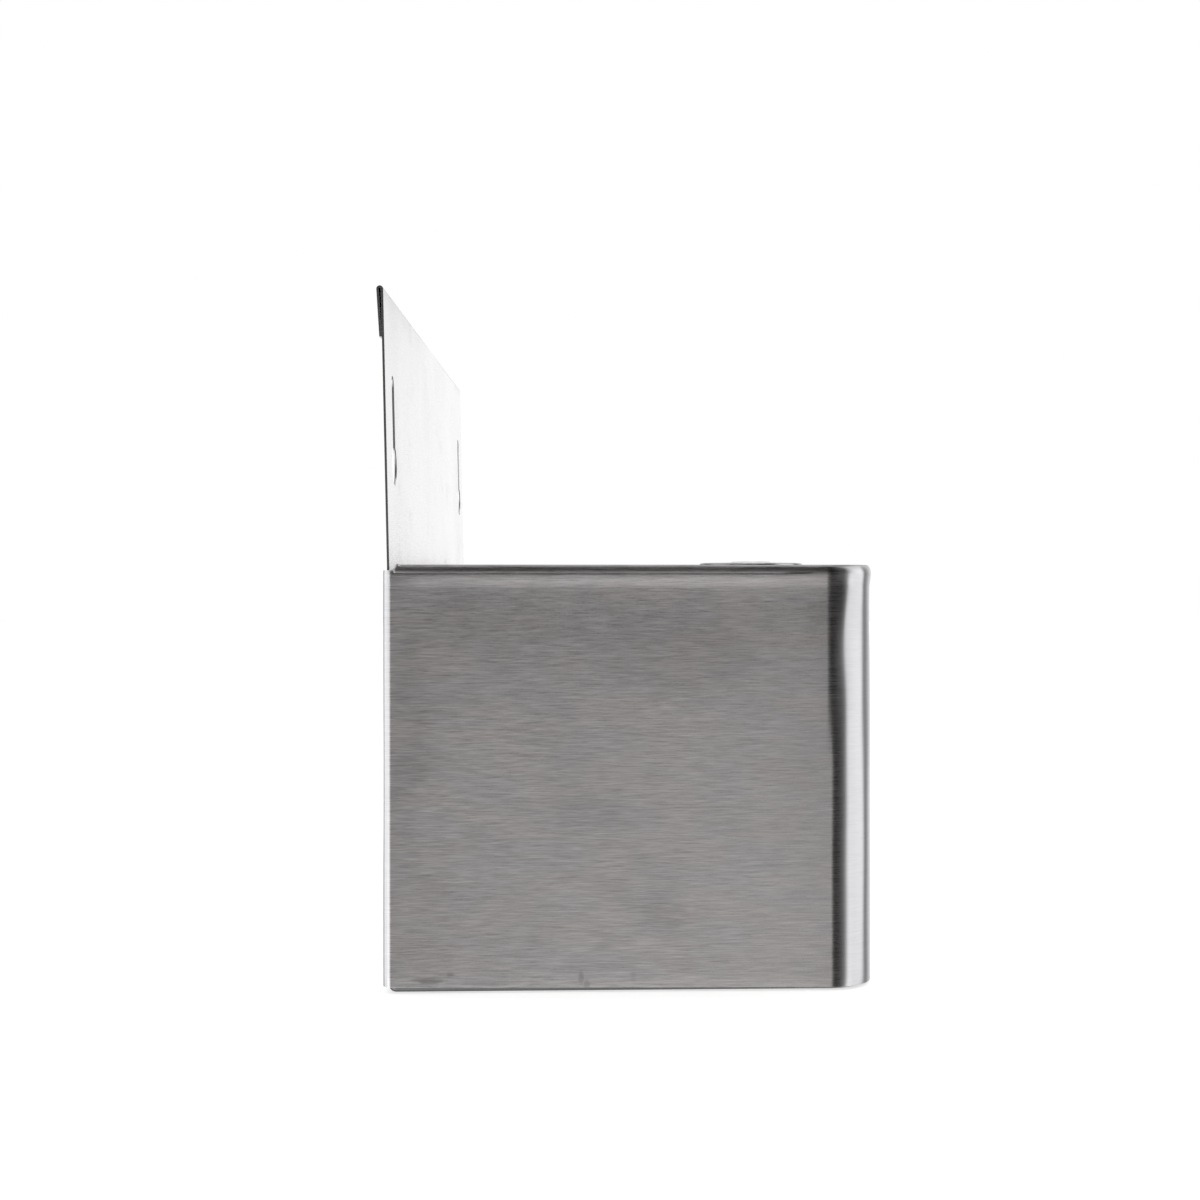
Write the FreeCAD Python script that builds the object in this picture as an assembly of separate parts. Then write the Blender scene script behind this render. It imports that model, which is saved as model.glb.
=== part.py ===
import FreeCAD, Part
import math
import os

# Wall-mounted ashtray bin of folded stainless sheet.
# X is the width, -Y the front, +Y the wall side, +Z up; the origin is the middle of the flat base.
# All sizes are in millimetres.

# ---- Overall sizes ----
body_width = 210.0
body_depth = 104.0
rim_height = 90.0
total_height = 149.0

# ---- Shell: front, two sides and rear returns folded from one sheet ----
sheet = 0.6
corner_radius = 9.5
rear_bend_radius = 1.8
return_width = 16.0
hem_thickness = 2.2
hem_drop = 7.0
hem_proud = 0.2
hem_flare = 7.5
crease_drop = 1.8
crease_depth = 0.12
hem_setback = 2.8
raw_edge_drop = 1.2
shell_lift_rear = 1.35
shell_lift_front = 0.6

# ---- Back plate with its keyholes and folded top edge ----
plate_sheet = 0.5
plate_inset = 3.0
plate_lean = 1.25
fold_width = 1.46
fold_drop = 10.8
fold_end_gap = 0.06
key_inset = 13.5
key_head_radius = 4.5
key_slot_width = 4.8
key_length = 24.0
key_above_rim = 17.4

# ---- Base pan ----
pan_sheet = 0.6
pan_gap = 0.1
pan_flange = 10.0
pan_edge_radius = 1.6
drain_radius = 1.9
drain_inset = 16.0

# ---- Lid and its clearances ----
lid_recess = 1.3
lid_sheet = 0.8
lid_gap = 1.2
skirt_depth = 10.0
lid_edge_radius = 1.2
slot_length = 110.0
slot_width = 15.0
slot_from_pin = 25.0

# ---- Inner bin ----
liner_sheet = 0.6
liner_side_gap = 0.8
liner_front_gap = 3.5
liner_corner_radius = 5.0
liner_edge_radius = 2.0
notch_half_width = 17.0
notch_below_cam = 9.3
bumper_height = 1.2
bumper_width = 2.0
bumper_length = 9.0
bumper_inset = 25.0

# ---- Lid hinge ----
pin_radius = 1.0
pin_running_gap = 0.03
pin_fit_gap = 0.01
leaf_sheet = 0.6
hinge_length = 120.0
knuckle_count = 5
knuckle_gap = 0.4
pin_to_plate = 4.4
leaf_reach = 14.0
leaf_clear = 2.1

# ---- Stub-out plate ----
stub_length = 116.0
stub_depth = 27.0
stub_sheet = 0.8
stub_border = 6.5
stub_hole_radius = 1.8
stub_pitch = 6.5
stub_to_slot = 4.0

# ---- Quarter-turn lock and its keeper ----
lock_setback = 17.5
bezel_radius = 14.0
bezel_edge = 1.9
bezel_crown = 0.5
bezel_corner = 0.8
gasket_sheet = 0.5
gasket_radius = 12.5
barrel_radius = 8.0
barrel_gap = 0.1
barrel_length = 15.5
nut_flats = 21.0
nut_height = 3.0
plug_radius = 5.5
plug_gap = 0.06
plug_shoulder = 0.4
keyway_length = 6.4
keyway_width = 1.4
keyway_depth = 6.0
drive_square = 7.0
cam_sheet = 2.0
cam_width = 12.0
cam_reach = 14.8
cam_fit = 0.05
cam_to_keeper = 0.4
washer_sheet = 0.8
washer_radius = 6.0
screw_radius = 2.0
screw_head_radius = 3.8
screw_head_height = 2.4
screw_length = 7.0
socket_radius = 1.6
socket_depth = 1.4
keeper_sheet = 1.0
keeper_width = 34.0
keeper_leaf = 8.0
keeper_ledge = 5.0

# ---- Rivets ----
body_rivet_radius = 1.6
small_rivet_radius = 1.25
rivet_gap = 0.05
body_rivet_head = 3.2
small_rivet_head = 2.3
head_height = 0.7
head_crown_share = 0.6
return_rivet_inset = 8.8
return_rivet_shares = (0.22, 0.45, 0.68)
pan_rivet_up = 6.0
pan_rivet_shares = (-0.3, 0.0, 0.3)
leaf_rivet_reach = 9.8
leaf_rivet_shares = (-0.4, 0.0, 0.4)

# ---- How far a cut runs past its faces, and how near two places count as one ----
cut_past = 1.0
touch = 0.01

# ---- Places worked out from the sizes above ----
half_width = body_width / 2
front_y = -body_depth / 2
rear_y = body_depth / 2
hem_radius = hem_thickness / 2
hem_inset = hem_thickness - hem_proud
plate_rear_y = rear_y - sheet
plate_front_y = plate_rear_y - plate_sheet
lid_top = rim_height - lid_recess
lid_under = lid_top - lid_sheet
knuckle_radius = pin_radius + pin_running_gap + leaf_sheet
pin_y = plate_front_y - pin_to_plate
pin_z = lid_under - knuckle_radius
lid_half = half_width - hem_inset - lid_gap
lid_front_y = front_y + hem_inset + lid_gap
lid_rear_y = pin_y - leaf_clear
lid_corner = corner_radius - hem_inset - lid_gap
liner_half = lid_half - lid_sheet - liner_side_gap
liner_front_y = lid_front_y + lid_sheet + liner_front_gap
liner_rear_y = pin_y - knuckle_radius
liner_top = lid_under - bumper_height
lock_y = front_y + lock_setback
barrel_bottom = lid_top + gasket_sheet - barrel_length
plug_bottom = barrel_bottom - plug_shoulder
cam_bottom = plug_bottom - cam_sheet
notch_bottom = cam_bottom - notch_below_cam
slot_y = pin_y - slot_from_pin
stub_y = slot_y - slot_width / 2 - stub_to_slot - stub_depth / 2


def vec(x, y, z):
    return FreeCAD.Vector(x, y, z)


Z_AXIS = vec(0, 0, 1)
Y_AXIS = vec(0, 1, 0)
X_AXIS = vec(1, 0, 0)


def box(x0, y0, z0, x1, y1, z1):
    return Part.makeBox(x1 - x0, y1 - y0, z1 - z0, vec(x0, y0, z0))


def cylinder(radius, start, along, length):
    return Part.makeCylinder(radius, length, start, along)


def joined(shapes):
    # One clean solid from pieces that share faces.
    return shapes[0].multiFuse(shapes[1:]).removeSplitter()


def mirrored_x(shape):
    return shape.mirror(vec(0, 0, 0), X_AXIS)


def line(a, b):
    return Part.LineSegment(a, b).toShape()


def arc(a, middle, b):
    return Part.Arc(a, middle, b).toShape()


def polygon_face(points):
    return Part.Face(Part.makePolygon(points + points[:1]))


def rounded_block(half, y0, y1, z0, z1, front_radius, rear_radius):
    # A block centred on X whose upright edges are rounded by one radius per end.
    block = box(-half, y0, z0, half, y1, z1)
    for y, radius in ((y0, front_radius), (y1, rear_radius)):
        edges = [
            edge
            for edge in block.Edges
            if edge.BoundBox.ZLength > z1 - z0 - touch and abs(edge.CenterOfMass.y - y) < touch
        ]
        if radius > 0:
            block = block.makeFillet(radius, edges)
    return block


def edges_at_height(shape, z):
    return [
        edge
        for edge in shape.Edges
        if abs(edge.BoundBox.ZMin - z) < touch and abs(edge.BoundBox.ZMax - z) < touch
    ]


def folded_tray(half, y0, y1, z0, z1, wall, front_radius, rear_radius, edge_radius):
    # An open-topped tray with rounded upright corners and a rounded bottom edge.
    outer = rounded_block(half, y0, y1, z0, z1, front_radius, rear_radius)
    outer = outer.makeFillet(edge_radius, edges_at_height(outer, z0))
    inner = rounded_block(
        half - wall, y0 + wall, y1 - wall, z0 + wall, z1 + wall, front_radius - wall, rear_radius - wall
    )
    inner = inner.makeFillet(edge_radius - wall, edges_at_height(inner, z0 + wall))
    return outer.cut(inner)


def rounded_slot(x, y, z, length, width, depth, along_x=True):
    # An upright slot with full-round ends, from z upwards.
    half_run = (length - width) / 2
    reach = vec(half_run, 0, 0) if along_x else vec(0, half_run, 0)
    centre = vec(x, y, z)
    ends = [cylinder(width / 2, centre + shift, Z_AXIS, depth) for shift in (reach, -reach)]
    if along_x:
        middle = box(x - half_run, y - width / 2, z, x + half_run, y + width / 2, z + depth)
    else:
        middle = box(x - width / 2, y - half_run, z, x + width / 2, y + half_run, z + depth)
    return middle.fuse(ends)


def rivet(place, along, grip, radius, head_radius):
    # A rivet whose factory head sits at place; it runs along the given way and is set beyond the grip.
    shank = cylinder(radius, place, along, grip)
    head_base = place - along * head_height
    head = Part.makeCone(head_radius * head_crown_share, head_radius, head_height, head_base, along)
    far_face = place + along * grip
    set_head = Part.makeCone(head_radius, head_radius * head_crown_share, head_height, far_face, along)
    return joined([head, shank, set_head])


def rivet_hole(place, along, grip, radius):
    return cylinder(radius + rivet_gap, place - along * grip, along, 3 * grip)


# ---- Places of the rivets, shared by the holes and the rivets ----
return_rivet_x = half_width - return_rivet_inset
return_rivet_places = [
    vec(side * return_rivet_x, rear_y, rim_height * share)
    for side in (-1, 1)
    for share in return_rivet_shares
]
return_grip = sheet + plate_sheet
pan_rivet_places = [vec(body_width * share, plate_rear_y, pan_rivet_up) for share in pan_rivet_shares]
pan_grip = plate_sheet + pan_sheet
leaf_rivet_xs = [hinge_length * share for share in leaf_rivet_shares]
liner_leaf_rivet_places = [vec(x, liner_rear_y + leaf_sheet, pin_z - leaf_rivet_reach) for x in leaf_rivet_xs]
liner_leaf_grip = leaf_sheet + liner_sheet
lid_leaf_rivet_places = [vec(x, pin_y - leaf_rivet_reach, lid_top) for x in leaf_rivet_xs]
lid_leaf_grip = lid_sheet + leaf_sheet
stub_rivet_places = [
    vec(
        side_x * (stub_length / 2 - stub_border / 2),
        stub_y + side_y * (stub_depth / 2 - stub_border / 2),
        lid_top + stub_sheet,
    )
    for side_x in (-1, 1)
    for side_y in (-1, 1)
]
stub_grip = lid_sheet + stub_sheet


def hemmed_section():
    # Section of the wall with its rolled rim, drawn outward along +X from the outer face.
    wall_top = rim_height - hem_radius
    flare_z = rim_height - hem_flare
    crease_z = rim_height - crease_drop
    flap_z = rim_height - hem_drop
    flap = hem_proud - hem_thickness
    points = [
        vec(0, 0, 0),
        vec(0, 0, flare_z),
        vec(hem_proud, 0, crease_z - crease_depth),
        vec(hem_proud - crease_depth, 0, crease_z),
        vec(hem_proud, 0, crease_z + crease_depth),
        vec(hem_proud, 0, wall_top),
    ]
    edges = [line(a, b) for a, b in zip(points, points[1:])]
    edges.append(arc(points[-1], vec(hem_proud - hem_radius, 0, rim_height), vec(flap, 0, wall_top)))
    flap_points = [
        vec(flap, 0, wall_top),
        vec(flap, 0, flap_z),
        vec(flap + sheet, 0, flap_z),
        vec(flap + sheet, 0, wall_top),
    ]
    edges += [line(a, b) for a, b in zip(flap_points, flap_points[1:])]
    inner_top = vec(hem_proud - hem_radius, 0, rim_height - sheet)
    edges.append(arc(flap_points[-1], inner_top, vec(hem_proud - sheet, 0, wall_top)))
    inner_points = [
        vec(hem_proud - sheet, 0, wall_top),
        vec(hem_proud - sheet, 0, crease_z - crease_depth),
        vec(-sheet, 0, flare_z),
        vec(-sheet, 0, 0),
        vec(0, 0, 0),
    ]
    edges += [line(a, b) for a, b in zip(inner_points, inner_points[1:])]
    return Part.Face(Part.Wire(edges))


def plain_section():
    # Section of the wall where the rim is cut away, down to the raw edge.
    top = rim_height - raw_edge_drop
    return polygon_face([vec(-sheet, 0, 0), vec(0, 0, 0), vec(0, 0, top), vec(-sheet, 0, top)])


def turned_section(section, degrees, x, y):
    # The section turned about Z so that its outward way points at the given angle, then set in place.
    turned = section.copy()
    turned.rotate(vec(0, 0, 0), Z_AXIS, degrees)
    turned.translate(vec(x, y, 0))
    return turned


def make_shell():
    hemmed = hemmed_section()
    plain = plain_section()
    corner_y = front_y + corner_radius
    corner_x = half_width - corner_radius
    hem_end_y = rear_y - hem_setback
    bend_y = rear_y - rear_bend_radius
    bend_x = half_width - rear_bend_radius
    side = turned_section(hemmed, 0, half_width, corner_y).extrude(vec(0, hem_end_y - corner_y, 0))
    corner = turned_section(hemmed, 0, half_width, corner_y).revolve(vec(corner_x, corner_y, 0), Z_AXIS, -90)
    front = turned_section(hemmed, -90, corner_x, front_y).extrude(vec(-2 * corner_x, 0, 0))
    tail = turned_section(plain, 0, half_width, hem_end_y).extrude(vec(0, bend_y - hem_end_y, 0))
    bend = turned_section(plain, 0, half_width, bend_y).revolve(vec(bend_x, bend_y, 0), Z_AXIS, 90)
    flange = turned_section(plain, 90, bend_x, rear_y).extrude(vec(rear_bend_radius - return_width, 0, 0))
    half = [side, corner, tail, bend, flange]
    shell = joined([front] + half + [mirrored_x(piece) for piece in half])
    below = polygon_face(
        [
            vec(-body_width, 2 * front_y, -body_depth),
            vec(-body_width, 2 * front_y, 1.5 * shell_lift_front - 0.5 * shell_lift_rear),
            vec(-body_width, 2 * rear_y, 1.5 * shell_lift_rear - 0.5 * shell_lift_front),
            vec(-body_width, 2 * rear_y, -body_depth),
        ]
    ).extrude(vec(2 * body_width, 0, 0))
    holes = [rivet_hole(place, -Y_AXIS, return_grip, body_rivet_radius) for place in return_rivet_places]
    return shell.cut([below] + holes)


def make_back_plate():
    # Side view of the plate: upright in the body, leaning back above it, folded over at the top.
    bend_z = rim_height - raw_edge_drop
    lean = math.radians(plate_lean)
    up = vec(0, math.sin(lean), math.cos(lean))
    back = vec(0, math.cos(lean), -math.sin(lean))
    fold_radius = fold_width / 2
    rear_bend = vec(0, plate_rear_y, bend_z)
    run = (total_height - fold_radius - bend_z) / math.cos(lean)
    fold = rear_bend + up * run + back * (fold_radius - plate_sheet)
    tail_end = fold - up * (fold_drop - fold_radius)
    front_bend = vec(0, plate_front_y, bend_z)
    front_top = fold - back * fold_radius
    tail_outer_top = fold + back * fold_radius
    tail_outer_low = tail_end + back * (fold_end_gap + 2 * plate_sheet - fold_radius)
    tail_inner_low = tail_end + back * (fold_end_gap + plate_sheet - fold_radius)
    tail_inner_top = fold + back * (fold_radius - plate_sheet)
    rear_top = fold - back * (fold_radius - plate_sheet)
    foot_z = pan_sheet + pan_edge_radius
    edges = [
        line(vec(0, plate_front_y, foot_z), front_bend),
        line(front_bend, front_top),
        arc(front_top, fold + up * fold_radius, tail_outer_top),
        line(tail_outer_top, tail_outer_low),
        line(tail_outer_low, tail_inner_low),
        line(tail_inner_low, tail_inner_top),
        arc(tail_inner_top, fold + up * (fold_radius - plate_sheet), rear_top),
        line(rear_top, rear_bend),
        line(rear_bend, vec(0, plate_rear_y, foot_z)),
        line(vec(0, plate_rear_y, foot_z), vec(0, plate_front_y, foot_z)),
    ]
    plate_half = half_width - plate_inset
    section = Part.Face(Part.Wire(edges))
    section.translate(vec(-plate_half, 0, 0))
    plate = section.extrude(vec(2 * plate_half, 0, 0))
    cuts = [keyhole(side * (plate_half - key_inset)) for side in (-1, 1)]
    cuts += [rivet_hole(place, -Y_AXIS, return_grip, body_rivet_radius) for place in return_rivet_places]
    cuts += [rivet_hole(place, -Y_AXIS, pan_grip, body_rivet_radius) for place in pan_rivet_places]
    return plate.cut(cuts)


def keyhole(x):
    # A large round hole for the screw's head with a narrow slot rising from it.
    low_z = rim_height + key_above_rim
    head_z = low_z + key_head_radius
    end_z = low_z + key_length - key_slot_width / 2
    head = cylinder(key_head_radius, vec(x, 0, head_z), Y_AXIS, body_depth)
    end = cylinder(key_slot_width / 2, vec(x, 0, end_z), Y_AXIS, body_depth)
    neck = box(x - key_slot_width / 2, 0, head_z, x + key_slot_width / 2, body_depth, end_z)
    return head.fuse([end, neck])


def make_base_pan():
    pan_half = half_width - sheet - pan_gap
    pan = folded_tray(
        pan_half,
        front_y + sheet + pan_gap,
        plate_front_y,
        0,
        pan_flange,
        pan_sheet,
        corner_radius - sheet - pan_gap,
        pan_edge_radius,
        pan_edge_radius,
    )
    drain_x = half_width - drain_inset
    drain_y = rear_y - drain_inset
    drains = [
        cylinder(drain_radius, vec(side_x * drain_x, side_y * drain_y, -pan_sheet), Z_AXIS, 3 * pan_sheet)
        for side_x in (-1, 1)
        for side_y in (-1, 1)
    ]
    holes = [rivet_hole(place, -Y_AXIS, pan_grip, body_rivet_radius) for place in pan_rivet_places]
    return pan.cut(drains + holes)


def make_keeper():
    # Angle strip welded inside the front; the cam turns in under its ledge.
    back_y = front_y + sheet
    ledge_z = plug_bottom + cam_to_keeper
    leaf = box(
        -keeper_width / 2, back_y, ledge_z, keeper_width / 2, back_y + keeper_sheet, ledge_z + keeper_leaf
    )
    ledge = box(
        -keeper_width / 2, back_y, ledge_z, keeper_width / 2, back_y + keeper_ledge, ledge_z + keeper_sheet
    )
    return joined([leaf, ledge])


def make_liner():
    liner = folded_tray(
        liner_half,
        liner_front_y,
        liner_rear_y,
        pan_sheet,
        liner_top,
        liner_sheet,
        liner_corner_radius,
        liner_corner_radius,
        liner_edge_radius,
    )
    notch = box(
        -notch_half_width,
        liner_front_y - liner_sheet,
        notch_bottom,
        notch_half_width,
        liner_front_y + 2 * liner_sheet,
        liner_top + bumper_height,
    )
    low_corners = [
        edge
        for edge in notch.Edges
        if edge.BoundBox.YLength > liner_sheet and abs(edge.CenterOfMass.z - notch_bottom) < touch
    ]
    notch = notch.makeFillet(liner_corner_radius, low_corners)
    holes = [
        rivet_hole(place, -Y_AXIS, liner_leaf_grip, small_rivet_radius) for place in liner_leaf_rivet_places
    ]
    return liner.cut([notch] + holes)


def knuckle_spans(first):
    # The stretches of every second knuckle along the hinge, with a gap at each joint.
    pitch = hinge_length / knuckle_count
    spans = []
    for index in range(first, knuckle_count, 2):
        start = -hinge_length / 2 + index * pitch + knuckle_gap / 2
        spans.append((start, start + pitch - knuckle_gap))
    return spans


def make_leaf(first, strip, bore_radius, clear_box):
    # A hinge leaf: flat strip, rolled knuckles, and clearance cut round the other leaf's knuckles.
    knuckles = [
        cylinder(knuckle_radius, vec(start, pin_y, pin_z), X_AXIS, end - start)
        for start, end in knuckle_spans(first)
    ]
    clearances = [
        clear_box(start - knuckle_gap, end + knuckle_gap) for start, end in knuckle_spans(1 - first)
    ]
    leaf = joined([strip.cut(clearances)] + knuckles)
    bore = cylinder(bore_radius, vec(-hinge_length, pin_y, pin_z), X_AXIS, 2 * hinge_length)
    return leaf.cut(bore)


def make_liner_leaf():
    strip = box(
        -hinge_length / 2 + knuckle_gap / 2,
        liner_rear_y,
        pin_z - leaf_reach,
        hinge_length / 2 - knuckle_gap / 2,
        liner_rear_y + leaf_sheet,
        pin_z,
    )

    def clear_box(start, end):
        return box(start, liner_rear_y - sheet, pin_z - leaf_clear, end, pin_y, pin_z + leaf_clear)

    leaf = make_leaf(0, strip, pin_radius + pin_fit_gap, clear_box)
    holes = [
        rivet_hole(place, -Y_AXIS, liner_leaf_grip, small_rivet_radius) for place in liner_leaf_rivet_places
    ]
    return leaf.cut(holes)


def make_lid_leaf():
    strip = box(
        -hinge_length / 2 + knuckle_gap / 2,
        pin_y - leaf_reach,
        lid_under - leaf_sheet,
        hinge_length / 2 - knuckle_gap / 2,
        pin_y,
        lid_under,
    )

    def clear_box(start, end):
        return box(start, pin_y - leaf_clear, pin_z, end, pin_y + leaf_clear, lid_top)

    leaf = make_leaf(1, strip, pin_radius + pin_running_gap, clear_box)
    holes = [rivet_hole(place, -Z_AXIS, lid_leaf_grip, small_rivet_radius) for place in lid_leaf_rivet_places]
    return leaf.cut(holes)


def make_hinge_pin():
    return cylinder(pin_radius, vec(-hinge_length / 2, pin_y, pin_z), X_AXIS, hinge_length)


def make_lid():
    # A shallow cover: flat top with a skirt down the front and both sides, open at the hinge.
    skirt_bottom = lid_top - skirt_depth
    outer = rounded_block(lid_half, lid_front_y, lid_rear_y, skirt_bottom, lid_top, lid_corner, 0)
    top_edges = [edge for edge in edges_at_height(outer, lid_top) if edge.CenterOfMass.y < lid_rear_y - touch]
    outer = outer.makeFillet(lid_edge_radius, top_edges)
    inner = rounded_block(
        lid_half - lid_sheet,
        lid_front_y + lid_sheet,
        lid_rear_y + lid_sheet,
        skirt_bottom - lid_sheet,
        lid_under,
        lid_corner - lid_sheet,
        0,
    )
    cuts = [
        inner,
        rounded_slot(0, slot_y, lid_under - lid_sheet, slot_length, slot_width, 3 * lid_sheet),
        cylinder(barrel_radius + barrel_gap, vec(0, lock_y, lid_under - lid_sheet), Z_AXIS, 3 * lid_sheet),
        box(
            -stub_length / 2 + stub_border,
            stub_y - stub_depth / 2 + stub_border,
            lid_under - lid_sheet,
            stub_length / 2 - stub_border,
            stub_y + stub_depth / 2 - stub_border,
            lid_top + lid_sheet,
        ),
    ]
    cuts += [rivet_hole(place, -Z_AXIS, lid_leaf_grip, small_rivet_radius) for place in lid_leaf_rivet_places]
    cuts += [rivet_hole(place, -Z_AXIS, stub_grip, small_rivet_radius) for place in stub_rivet_places]
    return outer.cut(cuts)


def make_stub_plate():
    plate = rounded_block(
        stub_length / 2,
        stub_y - stub_depth / 2,
        stub_y + stub_depth / 2,
        lid_top,
        lid_top + stub_sheet,
        stub_border / 2,
        stub_border / 2,
    )
    columns = int((stub_length - 2 * stub_border) / stub_pitch)
    row_pitch = stub_pitch * math.sqrt(3) / 2
    rows = int((stub_depth - 2 * stub_border) / row_pitch) + 1
    holes = []
    for row in range(rows):
        y = stub_y + (row - (rows - 1) / 2) * row_pitch
        in_row = columns - row % 2
        for column in range(in_row):
            x = (column - (in_row - 1) / 2) * stub_pitch
            holes.append(cylinder(stub_hole_radius, vec(x, y, lid_top - stub_sheet), Z_AXIS, 3 * stub_sheet))
    holes += [rivet_hole(place, -Z_AXIS, stub_grip, small_rivet_radius) for place in stub_rivet_places]
    return plate.cut(holes)


def make_lock_body():
    # Barrel with a broad, slightly crowned bezel, turned about the lock's own axis.
    base_z = lid_top + gasket_sheet
    edge_z = base_z + bezel_edge
    bore = plug_radius + plug_gap
    shoulder = bezel_radius - bezel_corner
    corner_middle = bezel_corner * (1 - math.sqrt(0.5))
    crown_z = edge_z + bezel_crown
    middle = (shoulder + bore) / 2
    middle_z = edge_z + bezel_crown * (1 - (middle / shoulder) ** 2)
    bore_z = edge_z + bezel_crown * (1 - (bore / shoulder) ** 2)
    low = [
        vec(bore, 0, bore_z),
        vec(bore, 0, barrel_bottom),
        vec(barrel_radius, 0, barrel_bottom),
        vec(barrel_radius, 0, base_z),
        vec(bezel_radius, 0, base_z),
        vec(bezel_radius, 0, edge_z - bezel_corner),
    ]
    edges = [line(a, b) for a, b in zip(low, low[1:])]
    rounded = vec(bezel_radius - corner_middle, 0, edge_z - corner_middle)
    edges.append(arc(low[-1], rounded, vec(shoulder, 0, edge_z)))
    edges.append(arc(vec(shoulder, 0, edge_z), vec(middle, 0, middle_z), vec(bore, 0, bore_z)))
    body = Part.Face(Part.Wire(edges)).revolve(vec(0, 0, 0), Z_AXIS, 360)
    body = Part.Solid(body) if body.ShapeType == "Shell" else body
    body.translate(vec(0, lock_y, 0))
    return body, crown_z


def make_gasket():
    outer = cylinder(gasket_radius, vec(0, lock_y, lid_top), Z_AXIS, gasket_sheet)
    return outer.cut(cylinder(barrel_radius + barrel_gap, vec(0, lock_y, lid_under), Z_AXIS, 3 * lid_sheet))


def make_nut():
    corner = nut_flats / math.sqrt(3)
    points = [
        vec(
            corner * math.cos(math.radians(60 * step)),
            lock_y + corner * math.sin(math.radians(60 * step)),
            lid_under - nut_height,
        )
        for step in range(6)
    ]
    nut = polygon_face(points).extrude(vec(0, 0, nut_height))
    bore_start = vec(0, lock_y, lid_under - nut_height - cut_past)
    return nut.cut(cylinder(barrel_radius + cam_fit, bore_start, Z_AXIS, nut_height + 2 * cut_past))


def make_plug(crown_z):
    # Turning core: round through the barrel, square below it for the cam, with a key slit on top.
    core = cylinder(plug_radius, vec(0, lock_y, plug_bottom), Z_AXIS, crown_z - plug_bottom)
    top_edge = edges_at_height(core, crown_z)
    core = core.makeFillet(bezel_crown / 2, top_edge)
    half = drive_square / 2
    drive = box(-half, lock_y - half, cam_bottom, half, lock_y + half, plug_bottom)
    keyway = rounded_slot(
        0, lock_y, crown_z - keyway_depth, keyway_length, keyway_width, 2 * keyway_depth, along_x=False
    )
    bore_start = vec(0, lock_y, cam_bottom - cut_past)
    bore = cylinder(screw_radius + rivet_gap, bore_start, Z_AXIS, screw_length + 2 * cut_past)
    return joined([core, drive]).cut([keyway, bore])


def make_cam():
    # Flat arm pointing along +X when unlocked; a quarter turn brings it to the front.
    half = cam_width / 2
    hub = cylinder(half, vec(0, lock_y, cam_bottom), Z_AXIS, cam_sheet)
    arm = box(0, lock_y - half, cam_bottom, cam_reach, lock_y + half, plug_bottom)
    tip_edges = [
        edge for edge in arm.Edges if edge.BoundBox.ZLength > cam_sheet / 2 and edge.CenterOfMass.x > half
    ]
    arm = arm.makeFillet(half / 2, tip_edges)
    fit = drive_square / 2 + cam_fit
    hole = box(-fit, lock_y - fit, cam_bottom - cut_past, fit, lock_y + fit, plug_bottom + cut_past)
    return joined([hub, arm]).cut(hole)


def make_cam_washer():
    disc = cylinder(washer_radius, vec(0, lock_y, cam_bottom - washer_sheet), Z_AXIS, washer_sheet)
    bore_start = vec(0, lock_y, cam_bottom - washer_sheet - cut_past)
    return disc.cut(cylinder(screw_radius + rivet_gap, bore_start, Z_AXIS, washer_sheet + 2 * cut_past))


def make_cam_screw():
    # Pan-head screw driven up into the plug, with a hexagon socket.
    head_z = cam_bottom - washer_sheet - screw_head_height
    head = cylinder(screw_head_radius, vec(0, lock_y, head_z), Z_AXIS, screw_head_height)
    head = head.makeFillet(screw_head_height / 3, edges_at_height(head, head_z))
    shank = cylinder(screw_radius, vec(0, lock_y, head_z + screw_head_height), Z_AXIS, screw_length)
    points = [
        vec(
            socket_radius * math.cos(math.radians(60 * step)),
            lock_y + socket_radius * math.sin(math.radians(60 * step)),
            head_z - cut_past,
        )
        for step in range(6)
    ]
    socket = polygon_face(points).extrude(vec(0, 0, socket_depth + cut_past))
    return joined([head, shank]).cut(socket)


def make_bumpers():
    bumpers = []
    outer = liner_half + (bumper_width - liner_sheet) / 2
    for side in (-1, 1):
        for y in (lid_front_y + bumper_inset, lid_rear_y - bumper_inset):
            x0 = min(side * outer, side * (outer - bumper_width))
            bumpers.append(
                box(x0, y - bumper_length / 2, liner_top, x0 + bumper_width, y + bumper_length / 2, lid_under)
            )
    return Part.makeCompound(bumpers)


def rivet_group(places, along, grip, radius, head_radius):
    return Part.makeCompound([rivet(place, along, grip, radius, head_radius) for place in places])


lock_body, crown = make_lock_body()
nodes = {
    "shell": make_shell(),
    "back_plate": make_back_plate(),
    "base_pan": make_base_pan(),
    "lock_keeper": make_keeper(),
    "back_rivets": rivet_group(
        return_rivet_places, -Y_AXIS, return_grip, body_rivet_radius, body_rivet_head
    ),
    "pan_rivets": rivet_group(pan_rivet_places, -Y_AXIS, pan_grip, body_rivet_radius, body_rivet_head),
    "liner": make_liner(),
    "liner_hinge_leaf": make_liner_leaf(),
    "liner_leaf_rivets": rivet_group(
        liner_leaf_rivet_places, -Y_AXIS, liner_leaf_grip, small_rivet_radius, small_rivet_head
    ),
    "hinge_pin": make_hinge_pin(),
    "lid": make_lid(),
    "lid_hinge_leaf": make_lid_leaf(),
    "lid_leaf_rivets": rivet_group(
        lid_leaf_rivet_places, -Z_AXIS, lid_leaf_grip, small_rivet_radius, small_rivet_head
    ),
    "lid_bumpers": make_bumpers(),
    "stub_plate": make_stub_plate(),
    "stub_plate_rivets": rivet_group(
        stub_rivet_places, -Z_AXIS, stub_grip, small_rivet_radius, small_rivet_head
    ),
    "lock_body": lock_body,
    "lock_gasket": make_gasket(),
    "lock_nut": make_nut(),
    "lock_plug": make_plug(crown),
    "lock_cam": make_cam(),
    "cam_washer": make_cam_washer(),
    "cam_screw": make_cam_screw(),
}

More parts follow.
